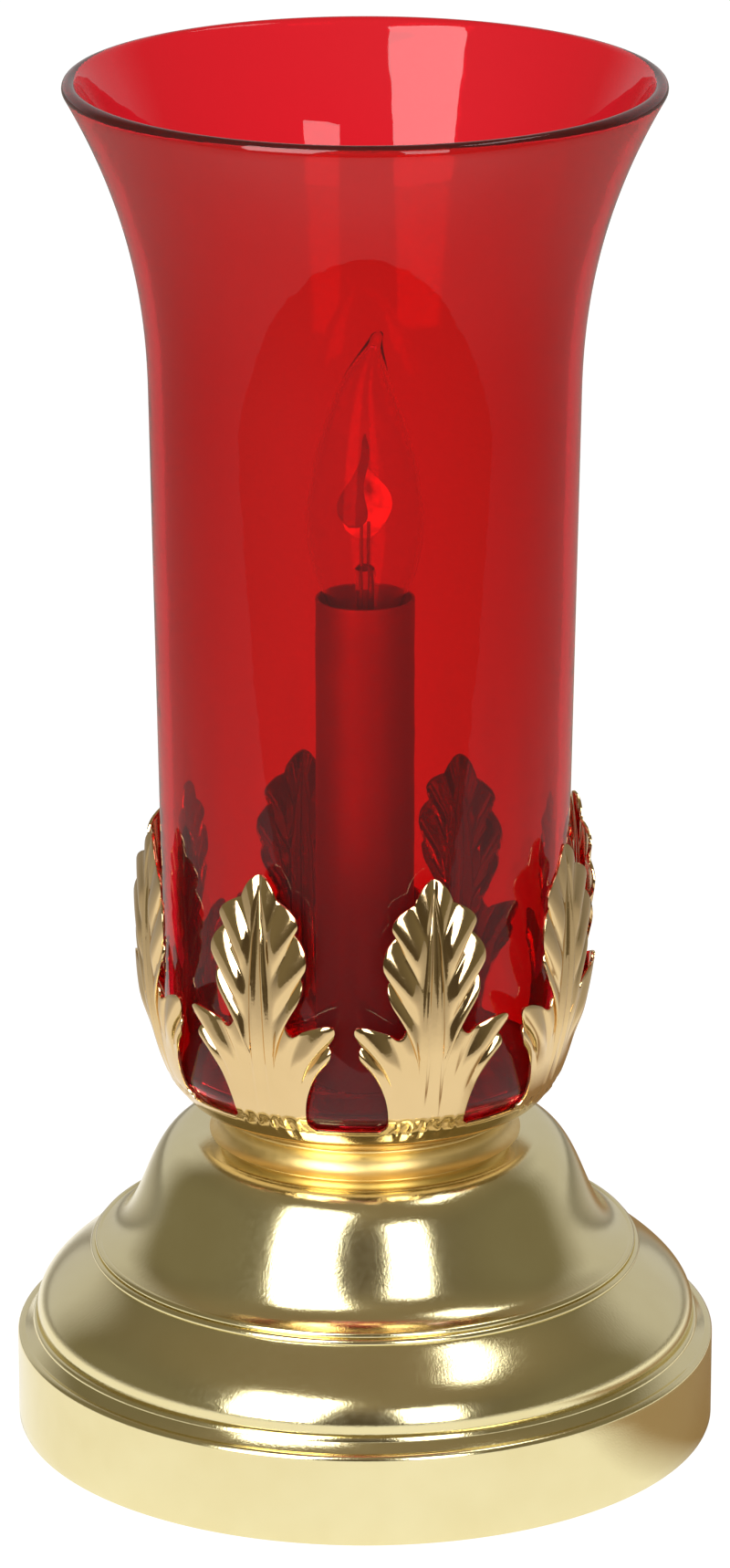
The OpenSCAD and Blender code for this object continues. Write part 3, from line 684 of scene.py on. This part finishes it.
def blown_glass(name, tint, edge_tint, ior, rough):
    """Glass that refracts, deeper in colour where it is seen edge-on; shadow rays pass straight
    through it, tinted."""
    material, tree, shader = new_material(name, Metallic=0.0, IOR=ior, Transmission_Weight=1.0)
    slant = add_node(tree, "ShaderNodeLayerWeight", {"Blend": 0.5})
    depth = add_node(tree, "ShaderNodeMix", data_type="RGBA")
    depth.inputs["A"].default_value = (*tint, 1)
    depth.inputs["B"].default_value = (*edge_tint, 1)
    tree.links.new(slant.outputs["Facing"], depth.inputs["Factor"])
    tree.links.new(depth.outputs["Result"], shader.inputs["Base Color"])
    vary_roughness(tree, shader, 30, 0.0, rough)
    clear = add_node(tree, "ShaderNodeBsdfTransparent", {"Color": (*tint, 1)})
    path = add_node(tree, "ShaderNodeLightPath")
    mix = add_node(tree, "ShaderNodeMixShader")
    out = tree.nodes["Material Output"]
    tree.links.new(path.outputs["Is Shadow Ray"], mix.inputs["Fac"])
    tree.links.new(shader.outputs[0], mix.inputs[1])
    tree.links.new(clear.outputs[0], mix.inputs[2])
    tree.links.new(mix.outputs[0], out.inputs["Surface"])
    return material, tree, shader


low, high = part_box("bulb_shell")
screw_r = high.x / MM
screw_foot = low.z / MM
screw_top = high.z / MM
belly_r = 13.1
belly_z = screw_top + 26.2
bulb_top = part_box("bulb_glass")[1].z / MM
BULB_WALL = 0.6
bulb_outside = (
    [(screw_r - 0.65, screw_top - 5), (screw_r - 0.65, screw_top - 1), (screw_r - 0.65, screw_top + 0.1)]
    + bezier((screw_r - 0.65, screw_top + 0.1), (9.5, belly_z - 16.2), (belly_r, belly_z - 10.2),
             (belly_r, belly_z), 20)
    + bezier((belly_r, belly_z), (belly_r, belly_z + 12.8), (7.3, bulb_top - 14.5),
             (2.5, bulb_top - 4.5), 24)
    + [(1.95, bulb_top - 3.2), (1.55, bulb_top - 2.1)]
    + arc(0, bulb_top - 1.4, 1.4, 0, 90, 6))
bulb_inside = (
    [(0, bulb_top - 3.4), (0.8, bulb_top - 3.8)]
    + bezier((0.8, bulb_top - 3.8), (6.4, bulb_top - 15.0), (belly_r - BULB_WALL, belly_z + 12.3),
             (belly_r - BULB_WALL, belly_z), 20)
    + bezier((belly_r - BULB_WALL, belly_z), (belly_r - BULB_WALL, belly_z - 10), (8.9, belly_z - 15.8),
             (screw_r - 0.65 - BULB_WALL, screw_top + 0.1), 16)
    + [(screw_r - 0.65 - BULB_WALL, screw_top - 5)])
bulb_glass, tree, shader = blown_glass("bulb_glass", (0.98, 0.98, 0.98), (0.88, 0.88, 0.88), 1.36, 0.02)
envelope = spin_outline(bulb_outside + bulb_inside, 96)
BEND_FROM = bulb_top - 16
for vert in envelope.verts:
    rise = max(vert.co.z / MM - BEND_FROM, 0)
    vert.co.x += 0.0118 * rise * rise * MM
make_piece("bulb_envelope", envelope, "bulb", "bulb_glass", bulb_glass)

stem_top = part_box("bulb_stem")[1].z / MM
stem_outline = ([(0, screw_top - 4), (4.4, screw_top - 4), (4.4, screw_top - 3.4)]
                + bezier((4.4, screw_top - 3.4), (3.6, screw_top - 1), (2.2, screw_top + 1),
                         (2.15, screw_top + 5), 10)
                + [(2.15, stem_top - 3.5), (2.5, stem_top - 2.2), (2.3, stem_top - 0.8), (1.4, stem_top),
                   (0, stem_top)])
stem_glass, tree, shader = blown_glass("stem_glass", (0.93, 0.95, 0.95), (0.7, 0.72, 0.72), 1.5, 0.03)
make_piece("glass_stem", spin_outline(stem_outline, 48, closed=False),
           "bulb", "bulb_stem", stem_glass)

wire_nickel, tree, shader = new_material("wire_nickel", Metallic=1.0)
vary_colour(tree, shader, 300, (0.30, 0.27, 0.24), (0.45, 0.41, 0.37))
vary_roughness(tree, shader, 900, 0.3, 0.45)
low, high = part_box("bulb_wires")
WIRE_R = 0.35
WIRE_STEPS = 16
wires = bmesh.new()
for side in (-1, 1):
    rise = (high.z - low.z) / WIRE_STEPS
    ring_made = bmesh.ops.create_circle(wires, segments=12, radius=WIRE_R * MM, cap_ends=True)
    bmesh.ops.translate(wires, verts=ring_made["verts"], vec=(side * 0.7 * MM, side * 0.7 * MM, low.z))
    face = ring_made["verts"][0].link_faces[0]
    for step in range(WIRE_STEPS):
        grown = bmesh.ops.extrude_face_region(wires, geom=[face])["geom"]
        if step:
            bmesh.ops.delete(wires, geom=[face], context="FACES_ONLY")
        ends = [g for g in grown if isinstance(g, bmesh.types.BMVert)]
        face = next(g for g in grown if isinstance(g, bmesh.types.BMFace))
        splay = side * 0.22 * MM * math.sin(math.pi * (step + 1) / WIRE_STEPS) ** 2 if step > 7 else 0
        bmesh.ops.translate(wires, verts=ends, vec=(splay * 0.1, 0, rise))
bmesh.ops.recalc_face_normals(wires, faces=wires.faces)
make_piece("lead_in_wires", wires, "bulb", "bulb_wires", wire_nickel, crease=60)


def sway(pulls, t):
    """A smooth side-to-side curve drawn by its pulls, from 0 at the foot to 1 at the tip."""
    last = len(pulls) - 1
    return sum(math.comb(last, i) * t ** i * (1 - t) ** (last - i) * pull
               for i, pull in enumerate(pulls))


def flame_sheet(left, right, foot, top, y, curl):
    """A flame-shaped plate between two side curves, its tip bent by curl millimetres."""
    bm = bmesh.new()
    bmesh.ops.create_grid(bm, x_segments=12, y_segments=48, size=0.5)
    for vert in bm.verts:
        t = vert.co.y + 0.5
        x = sway(left, t) + (sway(right, t) - sway(left, t)) * (vert.co.x + 0.5)
        bow = curl * t ** 3 + 0.35 * math.sin(math.pi * t) * (x / 5) ** 2
        vert.co = Vector((x, y + bow, foot + (top - foot) * t)) * MM
    bmesh.ops.recalc_face_normals(bm, faces=bm.faces)
    bmesh.ops.solidify(bm, geom=bm.faces[:], thickness=0.3 * MM)
    return bm


dark_plate, tree, shader = new_material("dark_plate", Metallic=0.2)
vary_colour(tree, shader, 300, (0.20, 0.18, 0.17), (0.27, 0.25, 0.23))
vary_roughness(tree, shader, 900, 0.45, 0.65)
glow_plate, tree, shader = new_material("glow_plate", Metallic=0.2, Emission_Strength=1.7)
vary_colour(tree, shader, 300, (0.25, 0.20, 0.17), (0.32, 0.27, 0.23))
vary_roughness(tree, shader, 900, 0.45, 0.65)
glow = add_node(tree, "ShaderNodeMix", data_type="RGBA")
glow.inputs["A"].default_value = (0.10, 0.01, 0.004, 1)
glow.inputs["B"].default_value = (1.0, 0.34, 0.12, 1)
tree.links.new(use_group(tree, speckle, Scale=170), glow.inputs["Factor"])
tree.links.new(glow.outputs["Result"], shader.inputs["Emission Color"])

plate_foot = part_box("flame_plate_rear")[0].z / MM
plate_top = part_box("flame_plate_front")[1].z / MM
front_left = [-3.6, -9.1, -7.3, 2.9, -2.2, -0.2]
front_right = [-1.4, 5.7, -7.8, 4.2, 1.2, 0.1]
rear_left = [-1.5, -10.5, 2.3, -9.8, 0.8, 0.2]
rear_right = [1.2, 6.1, 5.0, 11.8, -1.7, 0.4]
make_piece("front_plate", flame_sheet(front_left, front_right, plate_foot + 3, plate_top, -1.2, -0.8),
           "bulb", "flame_plate_front", dark_plate)
make_piece("rear_plate", flame_sheet(rear_left, rear_right, plate_foot, plate_top - 7, 1.2, 0.4),
           "bulb", "flame_plate_rear", glow_plate)

screw_nickel, tree, shader = new_material("screw_nickel", Metallic=1.0)
vary_colour(tree, shader, 300, (0.50, 0.47, 0.42), (0.62, 0.59, 0.54))
vary_roughness(tree, shader, 900, 0.22, 0.36)
make_piece("bulb_screw", threaded_tube(screw_r, screw_r - 0.35, screw_foot, screw_top, 0.5),
           "bulb", "bulb_shell", screw_nickel)

black_glass, tree, shader = new_material("black_glass")
vary_colour(tree, shader, 400, (0.010, 0.010, 0.012), (0.022, 0.022, 0.025))
vary_roughness(tree, shader, 600, 0.1, 0.2)
low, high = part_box("bulb_insulator")
cup_foot = low.z / MM
cup_top = high.z / MM
cup_outline = ([(0, cup_foot), (3.4, cup_foot), (3.8, cup_foot + 0.2), (screw_r - 0.7, cup_top - 1.2),
                (screw_r - 0.47, cup_top - 0.9), (screw_r - 0.47, cup_top), (0, cup_top)])
make_piece("insulator_cup", spin_outline(cup_outline, 64, closed=False),
           "bulb", "bulb_insulator", black_glass)
low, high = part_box("bulb_contact")
tip_foot = low.z / MM
tip_top = high.z / MM
solder_outline = [(0, tip_foot), (0.9, tip_foot + 0.08), (1.7, tip_foot + 0.35), (2.2, tip_foot + 0.75),
                  (2.5, tip_top), (0, tip_top)]
make_piece("solder_tip", spin_outline(solder_outline, 48, closed=False),
           "bulb", "bulb_contact", screw_nickel)


# ---- Ruby globe --------------------------------------------------------------------
# Blown ruby glass, open at both ends: a rounded heel that stands in the dish, a
# wall that widens slowly, and a flared lip with a fire-polished edge.

globe_low, globe_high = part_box("globe")
globe_foot = globe_low.z / MM
globe_top = globe_high.z / MM
HEEL = 5.5
FOOT_R = 45.3
FOOT_HOLE = 25
GLOBE_WALL = 3.0
TAPER = 0.0177
FLARE = 68
FLARE_OUT = 16.9
LIP_WALL = 3.2
heel_z = globe_foot + HEEL
lip_z = globe_top - 2.7
flare_z = lip_z - FLARE


def globe_radius(z):
    """Outside radius of the globe at a height: a slow taper, then the flare."""
    return FOOT_R + TAPER * (z - heel_z) + FLARE_OUT * (max(z - flare_z, 0) / FLARE) ** 2.2


body_rows = [heel_z + (flare_z - heel_z) * i / 20 for i in range(1, 20)]
flare_rows = [flare_z + (lip_z - flare_z) * i / 40 for i in range(41)]
globe_outside = (
    [(FOOT_HOLE + 1.5, globe_foot), ((FOOT_HOLE + FOOT_R - HEEL) / 2, globe_foot)]
    + arc(FOOT_R - HEEL, heel_z, HEEL, -90, 0, 14)
    + [(globe_radius(z), z) for z in body_rows + flare_rows])


def inside_wall(path):
    """The same path moved to its left by a wall that thickens a little near the lip."""
    moved = []
    for i, (r, z) in enumerate(path):
        near_lip = min(max((z - lip_z + 6) / 6, 0), 1) ** 2
        thickness = GLOBE_WALL + (LIP_WALL - GLOBE_WALL) * near_lip
        before = path[max(i - 1, 0)]
        after = path[min(i + 1, len(path) - 1)]
        run = Vector((after[0] - before[0], after[1] - before[1])).normalized()
        moved.append((r - run.y * thickness, z + run.x * thickness))
    return moved


globe_inside = inside_wall(globe_outside)
end_out = Vector(globe_outside[-1])
end_in = Vector(globe_inside[-1])
lip_mid = (end_out + end_in) / 2
lean = math.degrees(math.atan2(end_out.y - end_in.y, end_out.x - end_in.x))
lip = arc(lip_mid.x, lip_mid.y, LIP_WALL / 2, lean, lean + 180, 12)[1:-1]
foot_mid = globe_foot + GLOBE_WALL / 2
foot_edge = arc(FOOT_HOLE + 1.5, foot_mid, GLOBE_WALL / 2, 90, 270, 8)[1:-1]
globe_inside = [p for p in globe_inside if p[0] > FOOT_HOLE + 1.4]
ruby_glass, tree, shader = blown_glass("ruby_glass", (0.70, 0.006, 0.016), (0.34, 0.003, 0.008),
                                       1.36, 0.03)
shader.inputs["Coat Weight"].default_value = 0.22
shader.inputs["Coat Roughness"].default_value = 0.7
raise_surface(tree, shader, use_group(tree, speckle, Scale=35), 0.05)
globe = spin_outline(globe_outside + lip + globe_inside[::-1] + foot_edge, 256)
make_piece("ruby_globe", globe, "globe", "globe", ruby_glass)


# ---- Studio --------------------------------------------------------------------------
# A white table in a white studio, as they are seen directly and through glass.
# Reflections see a dimmer table, painted with a pool of light round the lamp that
# fades further off, a brown cloth off to the right and a dim warm room. Two tall
# softboxes stand at the front and one hangs high at the right.

TABLE_FRONT = -0.288


def tone_ramp(tree, value, tones):
    """A colour ramp through some tones."""
    ramp = add_node(tree, "ShaderNodeValToRGB")
    for i, (at, tone) in enumerate(tones):
        if 0 < i < len(tones) - 1:
            stop = ramp.color_ramp.elements.new(at)
        else:
            stop = ramp.color_ramp.elements[0 if i == 0 else -1]
        stop.color = (*tone, 1)
    tree.links.new(value, ramp.inputs["Fac"])
    return ramp.outputs["Color"]


def white_if_seen(tree, colour):
    """White to the camera and through glass, and the given colour to everything else."""
    path = add_node(tree, "ShaderNodeLightPath")
    seen = add_node(tree, "ShaderNodeMath", operation="MAXIMUM")
    mix = add_node(tree, "ShaderNodeMix", data_type="RGBA")
    mix.inputs["B"].default_value = (1, 1, 1, 1)
    tree.links.new(path.outputs["Is Camera Ray"], seen.inputs[0])
    tree.links.new(path.outputs["Is Transmission Ray"], seen.inputs[1])
    tree.links.new(seen.outputs[0], mix.inputs["Factor"])
    tree.links.new(colour, mix.inputs["A"])
    return mix.outputs["Result"]


table_mesh = bpy.data.meshes.new("table")
table_bm = bmesh.new()
bmesh.ops.create_grid(table_bm, x_segments=1, y_segments=1, size=3)
bmesh.ops.translate(table_bm, verts=table_bm.verts, vec=(0, 3 + TABLE_FRONT, 0))
table_bm.to_mesh(table_mesh)
table_bm.free()
table = bpy.data.objects.new("table", table_mesh)
bpy.context.scene.collection.objects.link(table)
white_table, tree, shader = new_material("white_table", Roughness=1.0, Specular_IOR_Level=0.0,
                                         Emission_Strength=1.0)
vary_colour(tree, shader, 8, (0.14, 0.14, 0.14), (0.16, 0.16, 0.16))
place = add_node(tree, "ShaderNodeTexCoord")
split = add_node(tree, "ShaderNodeSeparateXYZ")
away = add_node(tree, "ShaderNodeVectorMath", operation="LENGTH")
tree.links.new(place.outputs["Object"], split.inputs[0])
tree.links.new(place.outputs["Object"], away.inputs[0])
# Painted pool of light: the table's emission is brightest within 0.2 m of the lamp's axis and dims to
# about a fifth further off
tone = tone_ramp(tree, away.outputs["Value"], [(0.0, (0.88, 0.86, 0.82)), (0.2, (0.88, 0.86, 0.81)),
                                               (0.26, (0.55, 0.52, 0.48)), (0.32, (0.40, 0.38, 0.34)),
                                               (0.6, (0.24, 0.22, 0.19)), (1.0, (0.20, 0.19, 0.17))])
across = add_node(tree, "ShaderNodeMath", operation="ADD")
cloth_edge = add_node(tree, "ShaderNodeMapRange", {"From Min": 0.02, "From Max": 0.06})
cloth_end = add_node(tree, "ShaderNodeMapRange",
                     {"From Min": 0.12, "From Max": 0.16, "To Min": 1, "To Max": 0})
cloth_start = add_node(tree, "ShaderNodeMapRange", {"From Min": 0.03, "From Max": 0.06})
cloth_width = add_node(tree, "ShaderNodeMath", operation="MULTIPLY")
cloth_mask = add_node(tree, "ShaderNodeMath", operation="MULTIPLY")
cloth = add_node(tree, "ShaderNodeMix", data_type="RGBA")
cloth.inputs["B"].default_value = (0.24, 0.14, 0.04, 1)
tree.links.new(split.outputs["X"], across.inputs[0])
tree.links.new(split.outputs["Y"], across.inputs[1])
tree.links.new(across.outputs[0], cloth_edge.inputs["Value"])
tree.links.new(split.outputs["X"], cloth_end.inputs["Value"])
tree.links.new(cloth_edge.outputs[0], cloth_mask.inputs[0])
tree.links.new(split.outputs["X"], cloth_start.inputs["Value"])
tree.links.new(cloth_end.outputs[0], cloth_width.inputs[0])
tree.links.new(cloth_start.outputs[0], cloth_width.inputs[1])
tree.links.new(cloth_width.outputs[0], cloth_mask.inputs[1])
tree.links.new(cloth_mask.outputs[0], cloth.inputs["Factor"])
tree.links.new(tone, cloth.inputs["A"])
tree.links.new(white_if_seen(tree, cloth.outputs["Result"]), shader.inputs["Emission Color"])
table_mesh.materials.append(white_table)

world = bpy.data.worlds.new("room")
bpy.context.scene.world = world
world.use_nodes = True
tree = world.node_tree
tree.nodes.clear()
place = add_node(tree, "ShaderNodeTexCoord")
split = add_node(tree, "ShaderNodeSeparateXYZ")
rise = add_node(tree, "ShaderNodeMapRange", {"From Min": -1, "From Max": 1})
side = add_node(tree, "ShaderNodeMath", operation="ABSOLUTE")
beside = add_node(tree, "ShaderNodeMapRange", {"From Min": 0.3, "From Max": 0.9})
turned = add_node(tree, "ShaderNodeMath", {1: 0.12}, operation="MULTIPLY_ADD")
behind = add_node(tree, "ShaderNodeMapRange", {"From Min": 0.38, "From Max": 0.68})
below = add_node(tree, "ShaderNodeMapRange",
                 {"From Min": 0.5, "From Max": 0.75, "To Min": 1, "To Max": 0})
wall_mask = add_node(tree, "ShaderNodeMath", operation="MULTIPLY")
sides = add_node(tree, "ShaderNodeMix", data_type="RGBA")
sides.inputs["B"].default_value = (0.21, 0.185, 0.12, 1)
back_wall = add_node(tree, "ShaderNodeMix", data_type="RGBA")
back_wall.inputs["B"].default_value = (0.60, 0.58, 0.57, 1)
back = add_node(tree, "ShaderNodeBackground")
out = add_node(tree, "ShaderNodeOutputWorld")
tree.links.new(place.outputs["Generated"], split.inputs[0])
tree.links.new(split.outputs["Z"], rise.inputs["Value"])
tree.links.new(split.outputs["X"], side.inputs[0])
tree.links.new(side.outputs[0], beside.inputs["Value"])
tree.links.new(split.outputs["X"], turned.inputs[0])
tree.links.new(split.outputs["Y"], turned.inputs[2])
tree.links.new(turned.outputs[0], behind.inputs["Value"])
tree.links.new(split.outputs["Z"], below.inputs["Value"])
tree.links.new(behind.outputs[0], wall_mask.inputs[0])
tree.links.new(below.outputs[0], wall_mask.inputs[1])
room = tone_ramp(tree, rise.outputs[0], [(0.0, (0.12, 0.095, 0.05)), (0.5, (0.075, 0.058, 0.038)),
                                         (0.75, (0.11, 0.085, 0.055)), (0.9, (0.25, 0.20, 0.125)),
                                         (1.0, (0.25, 0.20, 0.13))])
tree.links.new(beside.outputs[0], sides.inputs["Factor"])
tree.links.new(room, sides.inputs["A"])
tree.links.new(wall_mask.outputs[0], back_wall.inputs["Factor"])
tree.links.new(sides.outputs["Result"], back_wall.inputs["A"])
tree.links.new(white_if_seen(tree, back_wall.outputs["Result"]), back.inputs["Color"])
tree.links.new(back.outputs[0], out.inputs["Surface"])

LIGHT_CENTRE = Vector((0, 0, 0.08))
LIGHT_DISTANCE = 1.2


def softbox(name, side_from, side_to, low, high, radiance):
    """A soft light that fills a patch of directions, in degrees from the front and above the table."""
    side = math.radians((side_from + side_to) / 2)
    rise = math.radians((low + high) / 2)
    towards = Vector((math.sin(side) * math.cos(rise), -math.cos(side) * math.cos(rise), math.sin(rise)))
    data = bpy.data.lights.new(name, "AREA")
    data.shape = "RECTANGLE"
    data.size = 2 * LIGHT_DISTANCE * math.tan(math.radians(side_to - side_from) / 2) * math.cos(rise)
    data.size_y = 2 * LIGHT_DISTANCE * math.tan(math.radians(high - low) / 2)
    data.energy = radiance * math.pi * data.size * data.size_y
    light = bpy.data.objects.new(name, data)
    light.location = LIGHT_CENTRE + LIGHT_DISTANCE * towards
    light.rotation_euler = towards.to_track_quat("Z", "Y").to_euler()
    light.visible_camera = False
    bpy.context.scene.collection.objects.link(light)


softbox("left_softbox", -46, -16, -4, 54, 8.0)
softbox("right_softbox", 14, 31, -4, 37, 6.5)
softbox("high_softbox", 58, 118, 61, 70, 4.0)

LENS = 165.95
TILT = math.radians(18.112)      # the camera looks down by this much
AIM = Vector((0, 0, 0.15189))
CAMERA_DISTANCE = 1.62758

camera_data = bpy.data.cameras.new("camera")
camera_data.sensor_width = 36
camera_data.lens = LENS
camera = bpy.data.objects.new("camera", camera_data)
camera.location = AIM + CAMERA_DISTANCE * Vector((0, -math.cos(TILT), math.sin(TILT)))
camera.rotation_euler = Euler((math.pi / 2 - TILT, 0, 0))
bpy.context.scene.collection.objects.link(camera)
bpy.context.scene.camera = camera
bpy.context.scene.view_settings.view_transform = "Standard"

# Light turns many times inside the globe's thick lip, which is black with fewer bounces
bpy.context.scene.cycles.glossy_bounces = 12
bpy.context.scene.cycles.max_bounces = 20
